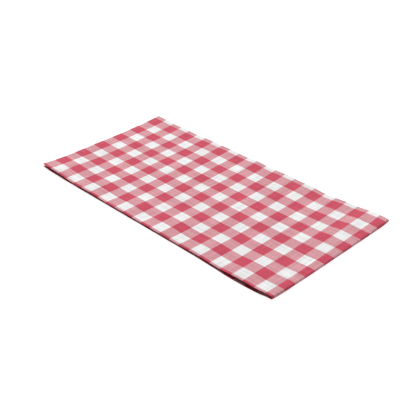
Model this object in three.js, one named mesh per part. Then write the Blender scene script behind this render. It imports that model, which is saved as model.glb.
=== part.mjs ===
// A red and white gingham table cloth, folded once in half and lying flat.
//
// Frame: millimetres, +Z up. The origin is at the bottom centre of the folded cloth. +X points
// at the fold, -X at the open end, +Y at the back long edge. The right side of the cloth faces
// outwards, so the double-turned hems lie on the inside of the fold.
//
// Each leaf is a panel, three hems, the half of the fold that belongs to it and the needle and
// bobbin thread of each hem. Both leaves come from one function, because the upper leaf is the
// lower leaf turned over about the X axis.

import * as THREE from "three";

// Driving dimensions
const CHECK = 25; // one stripe of the gingham
const CLOTH_WIDTH = 12.62 * CHECK;
const FOLDED_LENGTH = 24.82 * CHECK; // open end to the outside of the fold
const FOLD_HEIGHT = 8.5; // lower face to upper face at the fold
const CLOTH = 0.45; // thickness of one layer
const HEM_WIDTH = 10;
const HEM_LAYERS = 3;
const SEAM_INSET = 8; // hem's turned edge to its row of stitches
const THREAD_WIDTH = 0.25;
const THREAD_HEIGHT = 0.2;
const GAP = 0.3; // clearance between neighbouring solids

// Worked out from them
const HEM = HEM_LAYERS * CLOTH;
const HALF_WIDTH = CLOTH_WIDTH / 2;
const OPEN_END = -FOLDED_LENGTH / 2;
const FOLD_RADIUS = FOLD_HEIGHT / 2; // outside of the bend
const FOLD_START = FOLDED_LENGTH / 2 - FOLD_RADIUS; // where the flat leaf becomes the bend
const HEM_INNER_EDGE = HEM_WIDTH + GAP;
const FLAT_START = OPEN_END + HEM_INNER_EDGE;
const FLAT_END = FOLD_START - GAP / 2;
const BEND_START = FOLD_START + GAP / 2;
const BEND_STEPS = 8;
const CROWN_CLEARANCE = GAP / 2 / (FOLD_RADIUS - HEM); // radians short of the quarter turn
const BEND_END = FOLD_START + FOLD_RADIUS * (Math.PI / 2 - CROWN_CLEARANCE);
const TURN_POINTS = 6; // points round the turned edge of a hem

const PINK = 0xd9a3ad;
const RED = 0xc8505f;
const THREAD_WHITE = 0xf0f1f1;

function fabric(color) {
  return new THREE.MeshStandardMaterial({ color, roughness: 0.9, metalness: 0 });
}

// Places a point of a leaf. s runs along the leaf and on round the outside of the bend, y runs
// across it, and h is the depth below its right side.
function leafPoint(s, y, h) {
  if (s <= FOLD_START) {
    return new THREE.Vector3(s, y, h);
  }
  const angle = (s - FOLD_START) / FOLD_RADIUS;
  const radius = FOLD_RADIUS - h;
  const x = FOLD_START + radius * Math.sin(angle);
  return new THREE.Vector3(x, y, FOLD_RADIUS - radius * Math.cos(angle));
}

// The places along a leaf where a strip from one place to another has a ring of points.
function stationsBetween(from, to) {
  if (to <= FOLD_START) {
    return [from, to];
  }
  const bendFrom = Math.max(from, FOLD_START);
  const stations = from < FOLD_START ? [from, FOLD_START] : [from];
  for (let step = 1; step <= BEND_STEPS; step += 1) {
    stations.push(bendFrom + ((to - bendFrom) * step) / BEND_STEPS);
  }
  return stations;
}

// A strip with one cross-section (y, h) all along the leaf, from one place to another.
function stripAlongLeaf(section, from, to) {
  const stations = stationsBetween(from, to);
  const steps = stations.length - 1;
  const geometry = new THREE.ExtrudeGeometry(section, { depth: steps, steps, bevelEnabled: false });
  const points = geometry.getAttribute("position");
  for (let i = 0; i < points.count; i += 1) {
    const station = stations[Math.round(points.getZ(i))];
    const point = leafPoint(station, points.getX(i), points.getY(i));
    points.setXYZ(i, point.x, point.y, point.z);
  }
  return geometry;
}

// A strip with one cross-section (x, h) across the open end, the same distance each side.
function stripAcrossEnd(section, halfLength) {
  const geometry = new THREE.ExtrudeGeometry(section, { depth: 2 * halfLength, bevelEnabled: false });
  geometry.translate(0, 0, -halfLength);
  geometry.rotateX(Math.PI / 2);
  return geometry;
}

function rectangle(left, right, bottom, top) {
  const shape = new THREE.Shape();
  shape.moveTo(left, bottom);
  shape.lineTo(right, bottom);
  shape.lineTo(right, top);
  shape.lineTo(left, top);
  return shape;
}

// A hem's cross-section. It starts at the turned edge, which is round, and inwards is +1 or -1.
// A channel in each face takes the thread of the seam.
function hemSection(edge, inwards) {
  const round = HEM / 2;
  const channelHalf = THREAD_WIDTH / 2 + GAP;
  const channelDepth = THREAD_HEIGHT + GAP;
  const shape = new THREE.Shape();
  const at = (across, h) => [edge + inwards * across, h];
  shape.moveTo(...at(HEM_WIDTH, 0));
  shape.lineTo(...at(SEAM_INSET + channelHalf, 0));
  shape.lineTo(...at(SEAM_INSET + channelHalf, channelDepth));
  shape.lineTo(...at(SEAM_INSET - channelHalf, channelDepth));
  shape.lineTo(...at(SEAM_INSET - channelHalf, 0));
  for (let i = 0; i <= TURN_POINTS; i += 1) {
    const angle = (Math.PI * i) / TURN_POINTS;
    shape.lineTo(...at(round - round * Math.sin(angle), round - round * Math.cos(angle)));
  }
  shape.lineTo(...at(SEAM_INSET - channelHalf, HEM));
  shape.lineTo(...at(SEAM_INSET - channelHalf, HEM - channelDepth));
  shape.lineTo(...at(SEAM_INSET + channelHalf, HEM - channelDepth));
  shape.lineTo(...at(SEAM_INSET + channelHalf, HEM));
  shape.lineTo(...at(HEM_WIDTH, HEM));
  return shape;
}

// A thread's cross-section in its channel: the needle thread is on the right side of the cloth,
// the bobbin thread on the inside.
function threadSection(edge, inwards, kind) {
  const middle = edge + inwards * SEAM_INSET;
  const bottom = kind === "needle" ? 0 : HEM - THREAD_HEIGHT;
  return rectangle(middle - THREAD_WIDTH / 2, middle + THREAD_WIDTH / 2, bottom, bottom + THREAD_HEIGHT);
}

function piece(name, geometry, color) {
  const mesh = new THREE.Mesh(geometry, fabric(color));
  mesh.name = name;
  return mesh;
}

// One leaf, right side down. edges names its two long edges by the side they are on.
function makeLeaf(leafName, edges) {
  const leaf = new THREE.Group();
  const panelHalf = HALF_WIDTH - HEM_INNER_EDGE;
  const panelSection = rectangle(-panelHalf, panelHalf, 0, CLOTH);
  leaf.add(piece(`${leafName}_panel`, stripAlongLeaf(panelSection, FLAT_START, FLAT_END), PINK));
  leaf.add(piece(`${leafName}_fold`, stripAlongLeaf(panelSection, BEND_START, BEND_END), PINK));

  for (const { edgeName, side } of edges) {
    const name = `${leafName}_${edgeName}`;
    const hem = hemSection(side * HALF_WIDTH, -side);
    leaf.add(piece(`${name}_hem`, stripAlongLeaf(hem, FLAT_START, FLAT_END), RED));
    leaf.add(piece(`${name}_hem_fold`, stripAlongLeaf(hem, BEND_START, BEND_END), RED));
    for (const kind of ["needle", "bobbin"]) {
      const thread = threadSection(side * HALF_WIDTH, -side, kind);
      const run = stripAlongLeaf(thread, FLAT_START, BEND_END);
      leaf.add(piece(`${name}_${kind}_thread`, run, THREAD_WHITE));
    }
  }

  const endHem = stripAcrossEnd(hemSection(OPEN_END, 1), HALF_WIDTH);
  leaf.add(piece(`${leafName}_end_hem`, endHem, RED));
  for (const kind of ["needle", "bobbin"]) {
    const run = stripAcrossEnd(threadSection(OPEN_END, 1, kind), HALF_WIDTH - GAP);
    leaf.add(piece(`${leafName}_end_${kind}_thread`, run, THREAD_WHITE));
  }
  return leaf;
}

const lowerLeaf = makeLeaf("lower", [
  { edgeName: "front", side: -1 },
  { edgeName: "back", side: 1 },
]);

const upperLeaf = makeLeaf("upper", [
  { edgeName: "back", side: -1 },
  { edgeName: "front", side: 1 },
]);
upperLeaf.rotation.x = Math.PI;
upperLeaf.position.z = FOLD_HEIGHT;

const cloth = new THREE.Group();
cloth.add(lowerLeaf, upperLeaf);

export default cloth;
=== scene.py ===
# Looks of a red and white gingham table cloth, folded once across its length and lying flat.
# The cloth is one sheet with turned hems all round. It is worked out in the cloth's own
# coordinates: u runs from the upper leaf's open end, round the fold, to the lower leaf's open
# end, and v runs from the back edge to the front edge. All sizes are in metres.
import math

import bmesh
import bpy
import numpy as np
from mathutils import Matrix, Vector


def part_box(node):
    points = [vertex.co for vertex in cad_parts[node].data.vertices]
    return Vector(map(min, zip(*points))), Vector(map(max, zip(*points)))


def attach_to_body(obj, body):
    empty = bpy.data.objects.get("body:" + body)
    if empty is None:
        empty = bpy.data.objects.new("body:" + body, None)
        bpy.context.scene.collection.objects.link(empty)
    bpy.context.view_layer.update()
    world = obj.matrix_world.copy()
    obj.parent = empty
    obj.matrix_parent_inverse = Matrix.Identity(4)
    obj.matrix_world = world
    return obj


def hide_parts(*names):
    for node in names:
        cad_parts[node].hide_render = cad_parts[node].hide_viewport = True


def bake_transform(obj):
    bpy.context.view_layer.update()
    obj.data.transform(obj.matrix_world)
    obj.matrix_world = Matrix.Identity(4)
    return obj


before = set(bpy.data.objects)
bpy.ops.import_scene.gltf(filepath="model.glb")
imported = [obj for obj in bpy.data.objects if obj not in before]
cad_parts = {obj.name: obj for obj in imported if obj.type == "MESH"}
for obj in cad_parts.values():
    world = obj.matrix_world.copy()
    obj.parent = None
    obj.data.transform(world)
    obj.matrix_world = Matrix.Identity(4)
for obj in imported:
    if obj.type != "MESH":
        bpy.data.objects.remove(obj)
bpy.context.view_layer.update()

# The frame's own places
OPEN_END_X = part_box("lower_end_hem")[0].x
FOLD_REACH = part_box("lower_fold")[1].x
BACK_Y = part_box("lower_end_hem")[1].y

# The cloth
CHECK = 0.025
END_STRIPE = 1.05  # stripes from the upper open end to the end of the first red one
BACK_STRIPE = 0.42  # stripes from the back edge to the start of the first red one
WIDTH = 12.60 * CHECK
LAYER = 0.00045
LAYER_PITCH = 0.00047  # from one layer to the next in a hem
HEM_WIDTH = 0.010
HEM_TUCK = 0.0012  # from the turned edge to the raw edge inside the hem
SEAM_INSET = 0.008

# How it lies. Heights are of the middle of a layer of cloth.
LOWER_REST = 0.00015 + LAYER / 2  # the lower leaf's height
LOWEST_UPPER = LOWER_REST + LAYER + 0.0001  # the upper leaf's where it touches the lower one
SETTLE = 0.0003  # how softly the upper leaf comes to rest on the lower one
FOLD_X = FOLD_REACH - LAYER / 2
LOWER_END_X = OPEN_END_X - 0.0018
LOWER_CORNER_LIFT = 0.0035
LOWER_EDGE = 0.0002  # how far the lower leaf's front edge shows past a straight one
LOWER_EDGE_SWELL = (0.0032, 0.225, 0.060)  # and how much more at an x, with its spread
LOWER_RIPPLE = 0.0001
BEND = 0.0034  # how far the bend reaches back from the crown of the fold
BEND_RADIUS = 0.0028  # crown to either leaf, for the cloth's length round the bend
BEND_FOOT = 0.0019  # height of the lower leaf where the bend begins
RAMP = 0.026  # from the foot of the bend to where the lower leaf lies flat
OPENED_SLOPE = 0.0087  # the opened leaf stops half a degree short of flat
TALLEST_FOLD = 0.0082
CAP_SOFTNESS = 0.0002
SIGHT_X = -1.13  # a point keeps its place in the front view if it goes up by 1 and moves by
SIGHT_Y = 1.12  # these along x and y

# How far the cloth is out of square
FOLD_SKEW = 0.0038  # how much further the fold reaches at the back than at the front
SKEW_START = 0.120  # before the bend
SKEW_EASE = 0.110
CORNER_DRIFT = 0.0006  # how far the fold's front corner draws in
END_WAVE = (0.0022, 0.190, 0.030)  # how far the upper open end reaches out, at a v, and its spread
END_CORNER = 0.0014  # and how far its back corner does
END_CORNER_WIDTH = 0.105
END_REACH = 0.05  # how far along the leaf the open end's wave goes
SWAY = 0.0024  # how far the stripes lean out near the upper leaf's front corner
SWAY_PLACE = (0.055, 0.272)
SWAY_SPREAD = 0.035
EDGE_WAVE = 0.0003  # of the upper leaf's front edge

# The upper leaf's height, where it is free. Places along it go from 0 at the open end to 1 at
# the fold, and places across go from 0 at the back edge to 1 at the front edge.
UPPER_LEVEL = 0.003075
MIDDLE_SAG = 0.0014
OPEN_END_LIFT = 0.0017
FOLD_LIFT = 0.0064
FOLD_TOP = 0.967  # where the leaf stops rising towards the fold
FOLD_SAG = 0.0008
FRONT_EDGE_LIFT = 0.0017
BACK_EDGE_LIFT = 0.0027
FRONT_CORNER_LIFT = 0.0050
BACK_CORNER_LIFT = 0.0018
FRONT_HOLLOW = 0.0006
BACK_HOLLOW = 0.0022

# Waves that run in from the back edge: height, x, spread along x and how far across they reach
BACK_WAVES = (
    (0.0013, -0.109, 0.030, 0.45),
    (0.0008, -0.009, 0.020, 0.30),
    (-0.0011, 0.160, 0.035, 0.40),
)

# Single swells and hollows: height, x and its spread, place across and its spread
SWELLS = (
    (-0.0009, 0.115, 0.050, 0.37, 0.12),
    (0.0024, 0.266, 0.015, 0.22, 0.20),
    (-0.0008, 0.272, 0.022, 0.66, 0.12),
)

# Even waves along the edges: height, length and where they start, the second as a part of a turn
FRONT_WAVE = (0.0010, 0.0985, 0.035)
BACK_WAVE = (0.0005, 0.071, 0.31)
CRINKLE = 0.00012

# Steps along the surface
STEP = 0.0042
EDGE_STEPS = (0.0, 0.0006, 0.0016, 0.0034, 0.0054, 0.0068, 0.0075, 0.0081, 0.0089, 0.0104, 0.0130)
EASE_STEPS = (-0.0070, -0.0045, -0.0025, -0.0010, 0.0)  # before the bend
EASE_START = 0.010
BEND_ROWS = 12  # round each half of the bend
RAMP_ROWS = 7
NORMAL_STEP = 0.00012  # for the surface's direction
OUTER_TURN_STEPS = 6
INNER_TURN_STEPS = 4
UNDER_STEPS = (0.0022, 0.0046, 0.0066, 0.0076, 0.0084)  # across a hem's bottom layer
TUCKED_STEPS = (0.0070, 0.0040, HEM_TUCK)  # and back across its middle layer
MITRE_REACH = 0.030
MITRE_GAP = 0.0001

# Stitches
STITCH_PITCH = 0.0030
STITCH_LENGTH = 0.0025
THREAD_RADIUS = 0.000125
STITCH_SIDES = 5
STITCH_RINGS = (-0.5, -0.32, 0.0, 0.32, 0.5)  # of points, in stitch lengths from the middle
RING_DEPTH = (1.3, 0.0, 0.0, 0.0, 1.3)  # in thread radii: both ends go into the cloth
RING_SIZE = (0.55, 1.0, 1.0, 1.0, 0.55)
STITCH_SLIP = 0.00015  # how unevenly the stitches lie along the seam
STITCH_SWAY = 0.00010  # and across it
STITCH_STEP = 0.0002  # for the seam's direction
SEAM_WANDER = 0.00012
SEED = 7


def bump_shape(value, centre, spread):
    """A rise of 1 at the centre that falls away on both sides."""
    return np.exp(-(((value - centre) / spread) ** 2))


def smooth(value):
    """0 up to 0, 1 from 1, and an even change between them."""
    t = np.clip(value, 0.0, 1.0)
    return t * t * (3.0 - 2.0 * t)


def near(distance, reach):
    """1 where the distance is 0, falling away over the reach."""
    return np.exp(-distance / reach)


# ---------------------------------------------------------------- the surface

FLAT_LENGTH = FOLD_X - BEND - OPEN_END_X
CROWN_PLACE = FLAT_LENGTH + BEND_RADIUS * math.pi / 2
BEND_END = CROWN_PLACE + BEND_RADIUS * math.pi / 2
SPLIT = BEND_END + RAMP  # where the upper and the lower mesh of the cloth meet
LENGTH = BEND_END + (FOLD_X - BEND - LOWER_END_X)


def free_height(x, y):
    """Height of the upper leaf: raised edges and corners, a sagging middle and low waves."""
    along = (x - OPEN_END_X) / (FOLD_X - OPEN_END_X)
    back = (BACK_Y - y) / WIDTH
    front = 1.0 - back
    from_top = 1.0 - np.minimum(along, FOLD_TOP)
    hang = np.sin(math.pi * np.clip(back, 0, 1))
    z = UPPER_LEVEL - MIDDLE_SAG * np.sin(math.pi * np.clip(along, 0, 1)) * hang

    z = z + OPEN_END_LIFT * near(along, 0.10)
    z = z + FOLD_LIFT * near(from_top, 0.08) - FOLD_SAG * near(1.0 - along, 0.12) * hang
    z = z + FRONT_EDGE_LIFT * near(front, 0.10) + BACK_EDGE_LIFT * near(back, 0.10)
    z = z + FRONT_CORNER_LIFT * near(along, 0.12) * near(front, 0.25)
    z = z + BACK_CORNER_LIFT * near(along, 0.06) * near(back, 0.10)

    z = z - BACK_HOLLOW * bump_shape(along, 0.79, 0.07) * near(back, 0.35)
    z = z - FRONT_HOLLOW * bump_shape(front, 0.33, 0.13)
    for height, middle, spread, reach in BACK_WAVES:
        z = z + height * bump_shape(x, middle, spread) * smooth(1.2 - back / reach)
    for height, middle, spread, across, width in SWELLS:
        z = z + height * bump_shape(x, middle, spread) * bump_shape(back, across, width)

    height, length, start = FRONT_WAVE
    z = z + height * np.cos(2 * math.pi * (x - start) / length) * bump_shape(front, 0.12, 0.14)
    height, length, turn = BACK_WAVE
    z = z + height * np.sin(2 * math.pi * (x / length + turn)) * near(back, 0.10)
    z = z + CRINKLE * np.sin(x / 0.0061 + y / 0.0093) * np.sin(x / 0.0132 - y / 0.0071)
    return LOWEST_UPPER + SETTLE * np.logaddexp(0.0, (z - LOWEST_UPPER) / SETTLE)


def upper_height(x, y):
    """The same, low enough for the opened leaf to stay above the surface, and what that takes off."""
    free = free_height(x, y)
    tallest = TALLEST_FOLD + OPENED_SLOPE * np.clip(FOLD_X - x, 0.0, None)
    height = tallest - CAP_SOFTNESS * np.logaddexp(0.0, (tallest - free) / CAP_SOFTNESS)
    return height, free - height


def drift(u, v):
    """How far along x the cloth is from a square one: the fold runs a little askew, and the upper
    leaf's open end is a little wavy."""
    corner = CORNER_DRIFT * near(np.clip(WIDTH - v, 0, None), 0.008)
    skew = -FOLD_SKEW * np.clip(v / WIDTH, 0, 1) - corner
    upper = smooth((u - FLAT_LENGTH + SKEW_START) / SKEW_EASE)
    lower = np.clip((LENGTH - u) / (LENGTH - BEND_END), 0, 1)
    height, middle, spread = END_WAVE
    wave = height * bump_shape(v, middle, spread)
    wave = wave + END_CORNER * smooth((END_CORNER_WIDTH - v) / END_REACH)
    return skew * upper * lower - wave * smooth(1.0 - u / END_REACH)


def surface(u, v):
    """Points of the middle of the cloth's outer layer."""
    u, v = np.broadcast_arrays(np.asarray(u, float), np.asarray(v, float))
    front = np.clip(WIDTH - v, 0, None)
    y = BACK_Y - v
    shift = drift(u, v)

    # upper leaf and the upper half of the bend
    angle = np.clip((u - FLAT_LENGTH) / BEND_RADIUS, 0.0, math.pi / 2)
    x_up = np.where(u < FLAT_LENGTH, OPEN_END_X + u, FOLD_X - BEND + BEND * np.sin(angle))
    height, lost = upper_height(np.minimum(x_up, FOLD_X - BEND), y)
    crown = (height + BEND_FOOT) / 2
    z_up = crown + (height - crown) * np.cos(angle)
    sway_u, sway_v = SWAY_PLACE
    sway = SWAY * bump_shape(u, sway_u, SWAY_SPREAD) * bump_shape(v, sway_v, SWAY_SPREAD)
    x_up = x_up + shift - sway + SIGHT_X * lost
    y_up = y + SIGHT_Y * lost + EDGE_WAVE * np.sin(u / 0.021) * near(front, 0.02)

    # lower half of the bend, and the lower leaf
    angle = np.clip((BEND_END - u) / BEND_RADIUS, 0.0, math.pi / 2)
    x_low = np.where(u < BEND_END, FOLD_X - BEND + BEND * np.sin(angle), FOLD_X - BEND - (u - BEND_END))
    height, lost = upper_height(FOLD_X - BEND, y)
    crown = (height + BEND_FOOT) / 2
    z_low = crown - (crown - BEND_FOOT) * np.cos(angle)
    ramp = (u - BEND_END) / RAMP
    z_flat = LOWER_REST + (BEND_FOOT - LOWER_REST) * (1.0 - smooth(ramp))
    inside = smooth((front - 0.012) / 0.02) * smooth((v - 0.012) / 0.02) * smooth(ramp - 1.0)
    z_flat = z_flat + inside * LOWER_RIPPLE * (1.0 + np.sin(x_low / 0.017) * np.cos(y / 0.023))
    to_end = np.clip(LENGTH - u, 0, None)
    z_flat = z_flat + LOWER_CORNER_LIFT * near(to_end, 0.04) * near(front, 0.06)
    z_low = np.where(u < BEND_END, z_low, z_flat)
    drawn = lost * (1.0 - smooth(ramp / 3.0))
    x_low = x_low + shift + SIGHT_X * drawn
    swell, middle, spread = LOWER_EDGE_SWELL
    proud = LOWER_EDGE + swell * bump_shape(x_low, middle, spread)
    y_low = y + SIGHT_Y * drawn - proud * near(front, 0.05) * smooth(ramp)

    lower = u >= CROWN_PLACE
    x = np.where(lower, x_low, x_up)
    z = np.where(lower, z_low, z_up)
    return np.stack([x, np.where(lower, y_low, y_up), z], axis=-1)


def inward(u, v):
    """Unit normals of the surface, towards the inside of the fold."""
    u, v = np.asarray(u), np.asarray(v)
    along = surface(u + NORMAL_STEP, v) - surface(u - NORMAL_STEP, v)
    across = surface(u, v + NORMAL_STEP) - surface(u, v - NORMAL_STEP)
    n = np.cross(along, across)
    return n / np.linalg.norm(n, axis=-1, keepdims=True)


# ---------------------------------------------------------------- the sheet's mesh


def stations(length, inset):
    """Places from inset to length - inset: close together near the hems, then even."""
    edge = np.array(EDGE_STEPS) + inset
    count = int(round((length - 2 * edge[-1]) / STEP))
    middle = np.linspace(edge[-1], length - edge[-1], count + 1)
    return np.concatenate([edge[:-1], middle, length - edge[:-1][::-1]])


def row_stations(inset):
    """Places along the cloth: as stations(), with close rows round the bend."""
    edge = np.array(EDGE_STEPS) + inset
    before = FLAT_LENGTH - EASE_START
    first = np.linspace(edge[-1], before, int((before - edge[-1]) / STEP))
    ease = np.array(EASE_STEPS) + FLAT_LENGTH
    upper = np.linspace(FLAT_LENGTH, CROWN_PLACE, BEND_ROWS + 1)[1:]
    lower = np.linspace(CROWN_PLACE, BEND_END, BEND_ROWS + 1)[1:]
    ramp = np.linspace(BEND_END, SPLIT, RAMP_ROWS + 1)[1:]
    end = LENGTH - edge[-1]
    second = np.linspace(SPLIT, end, int((end - SPLIT) / STEP))[1:]
    return np.concatenate([edge[:-1], first, ease, upper, lower, ramp, second, LENGTH - edge[:-1][::-1]])


def turned_path():
    """The double turn of a hem: distance in from the edge, depth, and length along the cloth."""
    radius = LAYER_PITCH
    outer = [math.pi * k / OUTER_TURN_STEPS for k in range(1, OUTER_TURN_STEPS + 1)]
    path = [(radius - radius * math.sin(t), radius - radius * math.cos(t)) for t in outer]
    small = LAYER_PITCH / 2
    turn_in = HEM_WIDTH - small
    path += [(w, 2 * LAYER_PITCH) for w in (*UNDER_STEPS, turn_in)]
    inner = [math.pi * k / INNER_TURN_STEPS for k in range(1, INNER_TURN_STEPS + 1)]
    path += [(turn_in + small * math.sin(t), 1.5 * LAYER_PITCH + small * math.cos(t)) for t in inner]
    path += [(w, LAYER_PITCH) for w in TUCKED_STEPS]
    points = np.array([(radius, 0.0)] + path)
    run = np.cumsum(np.hypot(*np.diff(points, axis=0).T))
    return points[1:, 0], points[1:, 1], run


def mitred(places, length, inset, w):
    """Moves the places near both ends in, so that a turned layer stops at the corner's diagonal."""
    push = max(w + MITRE_GAP - inset, 0.0)
    start = np.clip(1.0 - (places - inset) / MITRE_REACH, 0, 1)
    end = np.clip(1.0 - (length - inset - places) / MITRE_REACH, 0, 1)
    return places + push * (start - end)


def grid_faces(index):
    """Quads of a grid of vertex numbers, rows along u and columns along v."""
    a, b, c, d = index[:-1, :-1], index[1:, :-1], index[1:, 1:], index[:-1, 1:]
    return np.stack([a.ravel(), b.ravel(), c.ravel(), d.ravel()], axis=1)


def sheet_net():
    """The middle surface of the whole cloth with its hems: points, cloth coordinates, faces, and
    for each point its place along the cloth."""
    inset = LAYER_PITCH
    rows = row_stations(inset)
    columns = stations(WIDTH, inset)
    uu, vv = np.meshgrid(rows, columns, indexing="ij")
    points = [surface(uu, vv).reshape(-1, 3)]
    cloth = [np.stack([(uu + drift(uu, vv)).ravel(), vv.ravel()], axis=1)]
    places = [uu.ravel()]
    main = np.arange(uu.size).reshape(uu.shape)
    faces = [grid_faces(main)]
    used = uu.size
    ws, hs, runs = turned_path()

    def strip(border, make_uv, make_cut):
        nonlocal used
        lines = [border]
        for w, h, run in zip(ws, hs, runs):
            u, v = make_uv(w)
            points.append(surface(u, v) + h * inward(u, v))
            cut_u, cut_v = make_cut(u, v, run)
            cloth.append(np.stack([cut_u + drift(u, v), cut_v], axis=1))
            places.append(u)
            lines.append(np.arange(used, used + len(u)))
            used += len(u)
        return np.stack(lines, axis=1)

    def along(w):
        return mitred(rows, LENGTH, inset, w)

    def across(w):
        return mitred(columns, WIDTH, inset, w)

    back = strip(
        main[:, 0],
        lambda w: (along(w), np.full(len(rows), w)),
        lambda u, v, run: (u, np.full(len(u), inset - run)),
    )
    front = strip(
        main[:, -1],
        lambda w: (along(w), np.full(len(rows), WIDTH - w)),
        lambda u, v, run: (u, np.full(len(u), WIDTH - inset + run)),
    )
    upper_end = strip(
        main[0, :],
        lambda w: (np.full(len(columns), w), across(w)),
        lambda u, v, run: (np.full(len(u), inset - run), v),
    )
    lower_end = strip(
        main[-1, :],
        lambda w: (np.full(len(columns), LENGTH - w), across(w)),
        lambda u, v, run: (np.full(len(u), LENGTH - inset + run), v),
    )
    faces += [grid_faces(back[:, ::-1]), grid_faces(front)]
    faces += [grid_faces(upper_end.T[::-1]), grid_faces(lower_end.T)]
    return np.concatenate(points), np.concatenate(cloth), np.concatenate(faces), np.concatenate(places)


def vertex_normals(points, faces):
    corner = points[faces]
    n = np.cross(corner[:, 2] - corner[:, 0], corner[:, 3] - corner[:, 1])
    total = np.zeros_like(points)
    for k in range(4):
        np.add.at(total, faces[:, k], n)
    return total / np.linalg.norm(total, axis=1, keepdims=True)


def border_edges(faces):
    """Directed edges that only one face has."""
    edges = np.concatenate([np.stack([faces[:, k], faces[:, (k + 1) % 4]], axis=1) for k in range(4)])
    key = np.sort(edges, axis=1)
    _, first, count = np.unique(key, axis=0, return_index=True, return_counts=True)
    return edges[first[count == 1]]


def sharpen(mesh, pairs):
    """Marks the edges between these pairs of points as sharp."""
    ends = np.empty(2 * len(mesh.edges), dtype=np.int32)
    mesh.edges.foreach_get("vertices", ends)

    def key(edges):
        edges = np.sort(edges.astype(np.int64), axis=1)
        return edges[:, 0] * len(mesh.vertices) + edges[:, 1]

    mesh.edges.foreach_set("use_edge_sharp", np.isin(key(ends.reshape(-1, 2)), key(pairs)))


def new_object(name, points, faces):
    mesh = bpy.data.meshes.new(name)
    mesh.from_pydata(points.tolist(), [], [list(map(int, f)) for f in faces])
    mesh.update()
    obj = bpy.data.objects.new(name, mesh)
    bpy.context.collection.objects.link(obj)
    mesh.polygons.foreach_set("use_smooth", [True] * len(mesh.polygons))
    return obj


def make_sheets():
    """The cloth as a closed solid, in two meshes that meet under the upper leaf."""
    points, cloth, faces, places = sheet_net()
    normals = vertex_normals(points, faces)
    is_upper = places[faces].mean(axis=1) < SPLIT
    return [
        make_sheet("upper_cloth", points, normals, cloth, faces[is_upper]),
        make_sheet("lower_cloth", points, normals, cloth, faces[~is_upper]),
    ]


def make_sheet(name, points, normals, cloth, faces):
    used, faces = np.unique(faces, return_inverse=True)
    faces = faces.reshape(-1, 4)
    points, normals, cloth = points[used], normals[used], cloth[used]
    count = len(points)
    both = np.concatenate([points + normals * LAYER / 2, points - normals * LAYER / 2])
    rim = border_edges(faces)
    walls = np.stack([rim[:, 1], rim[:, 0], rim[:, 0] + count, rim[:, 1] + count], axis=1)
    all_faces = np.concatenate([faces, faces[:, ::-1] + count, walls])
    obj = new_object(name, both, all_faces)
    mesh = obj.data
    sharpen(mesh, np.concatenate([rim, rim + count]))
    corner = np.empty(len(mesh.loops), dtype=np.int32)
    mesh.loops.foreach_get("vertex_index", corner)
    layer = mesh.uv_layers.new(name="cloth")
    layer.data.foreach_set("uv", cloth[corner % count].astype(np.float32).ravel())
    return obj


# ---------------------------------------------------------------- the stitches


def make_stitches(name, place, start, end, depth):
    """A row of lockstitches from start to end. place(s) gives u and v at a distance s along the
    seam, and depth is how far the thread lies in from the middle of the outer layer."""
    rng = np.random.default_rng(SEED + len(name))
    count = int((end - start) / STITCH_PITCH)
    centre = start + STITCH_PITCH * (np.arange(count) + 0.5)
    centre = centre + rng.uniform(-STITCH_SLIP, STITCH_SLIP, count)
    sway = rng.uniform(-STITCH_SWAY, STITCH_SWAY, (count, 2))
    rings = []
    for part, deep, wide in zip(STITCH_RINGS, RING_DEPTH, RING_SIZE):
        s = centre + part * STITCH_LENGTH
        u, v = place(s)
        ahead = surface(*place(s + STITCH_STEP)) - surface(u, v)
        ahead = ahead / np.linalg.norm(ahead, axis=1, keepdims=True)
        n = inward(u, v)
        aside = np.cross(ahead, n)
        into = depth - math.copysign(deep * THREAD_RADIUS, depth)
        lean = sway[:, :1] * (0.5 - part) + sway[:, 1:] * (0.5 + part)
        middle = surface(u, v) + n * into + aside * lean
        ring = []
        for side in range(STITCH_SIDES):
            t = 2 * math.pi * side / STITCH_SIDES
            ring.append(middle + wide * THREAD_RADIUS * (math.cos(t) * aside + math.sin(t) * n))
        rings.append(np.stack(ring, axis=1))
    points = np.stack(rings, axis=1).reshape(-1, 3)
    last = len(STITCH_RINGS) - 1
    faces = []
    for stitch in range(count):
        base = stitch * len(STITCH_RINGS) * STITCH_SIDES
        for k in range(last):
            a, b = base + k * STITCH_SIDES, base + (k + 1) * STITCH_SIDES
            for side in range(STITCH_SIDES):
                after = (side + 1) % STITCH_SIDES
                faces.append([a + side, a + after, b + after, b + side])
        faces.append([base + side for side in range(STITCH_SIDES)][::-1])
        faces.append([base + last * STITCH_SIDES + side for side in range(STITCH_SIDES)])
    obj = new_object(name, points, faces)
    outward_faces(obj)
    return obj


def outward_faces(obj):
    work = bmesh.new()
    work.from_mesh(obj.data)
    bmesh.ops.recalc_face_normals(work, faces=work.faces)
    work.to_mesh(obj.data)
    work.free()


def seam_place(edge):
    """A function from a distance along a hem's seam to u and v."""

    def wander(s):
        return SEAM_INSET + SEAM_WANDER * np.sin(s / 0.031)

    if edge == "front":
        return lambda s: (s, WIDTH - wander(s))
    if edge == "back":
        return lambda s: (s, wander(s))
    if edge == "upper_end":
        return lambda s: (wander(s), s)
    return lambda s: (LENGTH - wander(s), s)


# ---------------------------------------------------------------- materials


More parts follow.
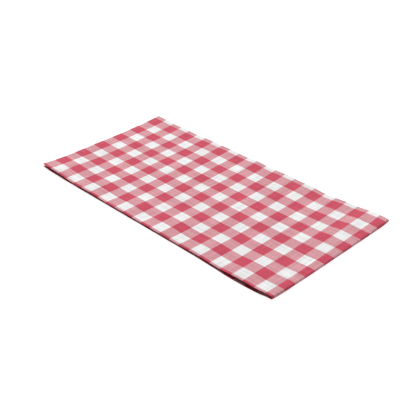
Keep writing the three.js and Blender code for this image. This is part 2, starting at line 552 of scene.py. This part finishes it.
class Nodes:
    """A short way to write a material's node tree."""

    def __init__(self, name):
        self.material = bpy.data.materials.new(name)
        self.material.use_nodes = True
        self.tree = self.material.node_tree
        self.tree.nodes.clear()
        self.shader = self.tree.nodes.new("ShaderNodeBsdfPrincipled")
        output = self.tree.nodes.new("ShaderNodeOutputMaterial")
        self.tree.links.new(self.shader.outputs["BSDF"], output.inputs["Surface"])

    def link(self, value, socket):
        if isinstance(value, bpy.types.NodeSocket):
            self.tree.links.new(value, socket)
        else:
            socket.default_value = value

    def math(self, operation, a, b=0.0, c=0.0):
        node = self.tree.nodes.new("ShaderNodeMath")
        node.operation = operation
        for value, socket in zip((a, b, c), node.inputs):
            self.link(value, socket)
        return node.outputs[0]

    def mix(self, factor, a, b, blend="MIX"):
        node = self.tree.nodes.new("ShaderNodeMix")
        node.data_type = "RGBA"
        node.blend_type = blend
        self.link(factor, node.inputs["Factor"])
        self.link(a, node.inputs[6])
        self.link(b, node.inputs[7])
        return node.outputs[2]

    def vector(self, x, y, z=0.0):
        node = self.tree.nodes.new("ShaderNodeCombineXYZ")
        for value, socket in zip((x, y, z), node.inputs):
            self.link(value, socket)
        return node.outputs[0]

    def constants(self, **values):
        """Sets the shader's own sockets: Sheen_Weight is the socket Sheen Weight."""
        for name, value in values.items():
            self.shader.inputs[name.replace("_", " ")].default_value = value

    def noise(self, vector, detail, roughness=0.5):
        node = self.tree.nodes.new("ShaderNodeTexNoise")
        node.inputs["Scale"].default_value = 1.0
        node.inputs["Detail"].default_value = detail
        node.inputs["Roughness"].default_value = roughness
        self.link(vector, node.inputs["Vector"])
        return node.outputs["Fac"]

    def grey(self, value):
        node = self.tree.nodes.new("ShaderNodeCombineColor")
        for socket in node.inputs:
            self.link(value, socket)
        return node.outputs[0]

    def bump(self, height, distance, strength, normal=None):
        node = self.tree.nodes.new("ShaderNodeBump")
        node.inputs["Distance"].default_value = distance
        node.inputs["Strength"].default_value = strength
        self.link(height, node.inputs["Height"])
        if normal is not None:
            self.link(normal, node.inputs["Normal"])
        return node.outputs[0]


def linear(red, green, blue):
    """A colour given in sRGB from 0 to 255, as the linear colour that a shader takes."""
    channels = []
    for value in (red, green, blue):
        s = value / 255.0
        channels.append(s / 12.92 if s <= 0.04045 else ((s + 0.055) / 1.055) ** 2.4)
    return (*channels, 1.0)


WHITE_YARN = linear(224, 224, 224)
RED_YARN = linear(191, 63, 86)
YARN = 0.0005  # from one yarn to the next
RED_SHARE = 0.512  # a red stripe's share of a red and a white one
ONE_STRIPE = 0.68  # how red a check is where only one set of yarns is red
YARN_CONTRAST = 0.30
LINE_CONTRAST = 0.35  # groups of thicker and thinner yarns
SLUB_REDNESS = 0.16
SLUB_SHADE = -0.16
MEAN_SHADE = 0.985
PATCH_SHADE = 0.05
WHITE_THREAD = linear(242, 240, 238)
SHADED_THREAD = linear(214, 208, 206)
THREAD_FUZZ = 900.0
WHITE = (1.0, 1.0, 1.0, 1.0)
FLOOR_GREY = (0.30, 0.30, 0.30, 1.0)
FLOOR_GLOW = 0.90  # keeps the floor white next to the cloth

# Noise in the weave, in cells for each metre of cloth along and across it: slubs are uneven
# single yarns, lines are groups of yarns, and patches are worn and creased places.
SLUBS_U = (22.0, 900.0, 0.0)
SLUBS_V = (900.0, 22.0, 3.0)
LINES_U = (9.0, 210.0, 11.0)
LINES_V = (260.0, 12.0, 15.0)
PATCHES = (40.0, 40.0, 7.0)


def gingham_material():
    n = Nodes("gingham")
    uv = n.tree.nodes.new("ShaderNodeUVMap")
    uv.uv_map = "cloth"
    split = n.tree.nodes.new("ShaderNodeSeparateXYZ")
    n.tree.links.new(uv.outputs["UV"], split.inputs[0])
    u, v = split.outputs["X"], split.outputs["Y"]

    def stripes(place, offset):
        count = n.math("SUBTRACT", n.math("DIVIDE", place, CHECK), offset)
        return n.math("LESS_THAN", n.math("FRACT", n.math("DIVIDE", count, 2.0)), RED_SHARE)

    weft = stripes(u, END_STRIPE + 1.0 - (RED_SHARE - 0.5))
    warp = stripes(v, BACK_STRIPE - (RED_SHARE - 0.5))
    yarn_u = n.math("DIVIDE", u, YARN)
    yarn_v = n.math("DIVIDE", v, YARN)
    crossing = n.math("ADD", n.math("FLOOR", yarn_u), n.math("FLOOR", yarn_v))
    weft_on_top = n.math("GREATER_THAN", n.math("FRACT", n.math("DIVIDE", crossing, 2.0)), 0.25)

    both = n.math("MULTIPLY", weft, warp)
    one = n.math("MULTIPLY", n.math("ADD", weft, warp), ONE_STRIPE)
    mean = n.math("ADD", one, n.math("MULTIPLY", both, 1.0 - 2.0 * ONE_STRIPE))
    difference = n.math("MULTIPLY", n.math("SUBTRACT", weft, warp), YARN_CONTRAST)
    redness = n.math("ADD", mean, n.math("MULTIPLY", n.math("SUBTRACT", weft_on_top, 0.5), difference))

    def weave_noise(cells, detail, roughness=0.5):
        per_u, per_v, layer = cells
        place = n.vector(n.math("MULTIPLY", u, per_u), n.math("MULTIPLY", v, per_v), layer)
        return n.noise(place, detail, roughness)

    slubs = n.math("ADD", weave_noise(SLUBS_U, 3.0, 0.6), weave_noise(SLUBS_V, 3.0, 0.6))
    lines = n.math("ADD", weave_noise(LINES_U, 1.0), weave_noise(LINES_V, 1.0))
    patch = weave_noise(PATCHES, 3.0, 0.55)
    uneven = n.math("SUBTRACT", slubs, 1.0)

    redness = n.math("ADD", redness, n.math("MULTIPLY", uneven, SLUB_REDNESS))
    redness = n.math("MULTIPLY", redness, n.math("MAXIMUM", weft, warp))
    colour = n.mix(redness, WHITE_YARN, RED_YARN)
    shade = n.math("MULTIPLY_ADD", uneven, SLUB_SHADE, MEAN_SHADE)
    shade = n.math("ADD", shade, n.math("MULTIPLY", n.math("SUBTRACT", lines, 1.0), LINE_CONTRAST))
    shade = n.math("ADD", shade, n.math("MULTIPLY", n.math("SUBTRACT", patch, 0.5), PATCH_SHADE))
    n.link(n.mix(1.0, colour, n.grey(shade), "MULTIPLY"), n.shader.inputs["Base Color"])

    n.link(n.math("MULTIPLY_ADD", patch, 0.16, 0.80), n.shader.inputs["Roughness"])
    n.constants(Specular_IOR_Level=0.25, Sheen_Weight=0.12, Sheen_Roughness=0.5)

    wave_u = n.math("SINE", n.math("MULTIPLY", yarn_u, math.pi))
    wave_v = n.math("SINE", n.math("MULTIPLY", yarn_v, math.pi))
    weave = n.bump(n.math("MULTIPLY", wave_u, wave_v), 0.00006, 0.5)
    ridges = n.bump(slubs, 0.00010, 0.5, weave)
    n.link(n.bump(patch, 0.0010, 0.25, ridges), n.shader.inputs["Normal"])
    return n.material


def thread_material():
    n = Nodes("sewing_thread")
    place = n.tree.nodes.new("ShaderNodeTexCoord").outputs["Object"]
    scaled = n.tree.nodes.new("ShaderNodeVectorMath")
    scaled.operation = "SCALE"
    n.tree.links.new(place, scaled.inputs[0])
    scaled.inputs["Scale"].default_value = THREAD_FUZZ
    fuzz = n.noise(scaled.outputs[0], 3.0)
    n.link(n.mix(fuzz, WHITE_THREAD, SHADED_THREAD), n.shader.inputs["Base Color"])
    n.link(n.math("MULTIPLY_ADD", fuzz, 0.2, 0.55), n.shader.inputs["Roughness"])
    n.constants(Sheen_Weight=0.2)
    n.link(n.bump(fuzz, 0.00005, 0.6), n.shader.inputs["Normal"])
    return n.material


def floor_material():
    n = Nodes("pale_floor")
    n.constants(Base_Color=FLOOR_GREY, Roughness=0.9, Specular_IOR_Level=0.0)
    n.constants(Emission_Color=WHITE, Emission_Strength=FLOOR_GLOW)
    return n.material


# ---------------------------------------------------------------- the object

NEEDLE_DEPTH = -LAYER / 2
BOBBIN_DEPTH = 2 * LAYER_PITCH + LAYER / 2


def attach(piece, leaf, *nodes):
    """The upper leaf's pieces go round the fold and bend there. The lower leaf's lie still."""
    if leaf == "upper":
        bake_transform(piece)
    else:
        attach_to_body(piece, "lower_leaf")
    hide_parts(*nodes)


def cloth_nodes(leaf):
    """The CAD nodes that one of the two meshes stands for. The upper one has the whole fold."""
    nodes = [f"{leaf}_panel"] + [f"{leaf}_{edge}_hem" for edge in ("front", "back", "end")]
    if leaf == "upper":
        for half in ("lower", "upper"):
            nodes += [f"{half}_fold", f"{half}_front_hem_fold", f"{half}_back_hem_fold"]
    return nodes


def make_leaf_stitches(leaf, material):
    spans = {"upper": (SEAM_INSET, SPLIT), "lower": (SPLIT, LENGTH - SEAM_INSET)}
    rows = []
    for edge in ("front", "back", "end"):
        place = seam_place(f"{leaf}_end" if edge == "end" else edge)
        start, end = (SEAM_INSET, WIDTH - SEAM_INSET) if edge == "end" else spans[leaf]
        for kind, depth in (("needle", NEEDLE_DEPTH), ("bobbin", BOBBIN_DEPTH)):
            row = make_stitches(f"{leaf}_{edge}_{kind}_stitches", place, start, end, depth)
            row.data.materials.append(material)
            attach(row, leaf, f"{leaf}_{edge}_{kind}_thread")
            rows.append(row)
    return rows


gingham = gingham_material()
thread = thread_material()
for leaf, sheet in zip(("upper", "lower"), make_sheets()):
    sheet.data.materials.append(gingham)
    attach(sheet, leaf, *cloth_nodes(leaf))
    rows = make_leaf_stitches(leaf, thread)


# ---------------------------------------------------------------- the studio

CAMERA_TARGET = Vector((0.0380, -0.0321, 0.0))
CAMERA_DISTANCE = 1.4704
CAMERA_AZIMUTH = math.radians(45.23)
CAMERA_ELEVATION = math.radians(32.12)
CAMERA_ROLL = math.radians(-0.53)
CAMERA_LENS = 68.1  # millimetres
SENSOR_WIDTH = 36.0  # millimetres
NEAREST, FARTHEST = 0.05, 50.0  # what the camera sees
FLOOR_REACH = 60.0
SOFTBOX_PLACE = Vector((-2.4, 3.5, 5.1))
SOFTBOX_SIZE = 4.2
SOFTBOX_POWER = 680.0
FILL_LIGHT = 0.12


def make_floor():
    corners = [(-1, -1, 0), (1, -1, 0), (1, 1, 0), (-1, 1, 0)]
    floor = new_object("floor", np.array(corners) * FLOOR_REACH, [[0, 1, 2, 3]])
    floor.data.materials.append(floor_material())


def make_camera():
    data = bpy.data.cameras.new("camera")
    data.lens = CAMERA_LENS
    data.sensor_width = SENSOR_WIDTH
    data.clip_start = NEAREST
    data.clip_end = FARTHEST
    camera = bpy.data.objects.new("camera", data)
    bpy.context.collection.objects.link(camera)
    flat = math.cos(CAMERA_ELEVATION)
    right, forward = math.sin(CAMERA_AZIMUTH) * flat, -math.cos(CAMERA_AZIMUTH) * flat
    back = Vector((right, forward, math.sin(CAMERA_ELEVATION)))
    facing = (-back).to_track_quat("-Z", "Y").to_matrix().to_4x4()
    roll = Matrix.Rotation(CAMERA_ROLL, 4, "Z")
    place = Matrix.Translation(CAMERA_TARGET + back * CAMERA_DISTANCE)
    camera.matrix_world = place @ facing @ roll
    bpy.context.scene.camera = camera


def make_softbox():
    data = bpy.data.lights.new("softbox", "AREA")
    data.shape = "SQUARE"
    data.size = SOFTBOX_SIZE
    data.energy = SOFTBOX_POWER
    light = bpy.data.objects.new("softbox", data)
    bpy.context.collection.objects.link(light)
    aim = (-SOFTBOX_PLACE).to_track_quat("-Z", "Y").to_matrix().to_4x4()
    light.matrix_world = Matrix.Translation(SOFTBOX_PLACE) @ aim


def make_world():
    world = bpy.data.worlds.new("studio")
    world.use_nodes = True
    background = world.node_tree.nodes["Background"]
    background.inputs["Color"].default_value = WHITE
    background.inputs["Strength"].default_value = FILL_LIGHT
    bpy.context.scene.world = world
    bpy.context.scene.view_settings.view_transform = "Standard"


make_floor()
make_camera()
make_softbox()
make_world()
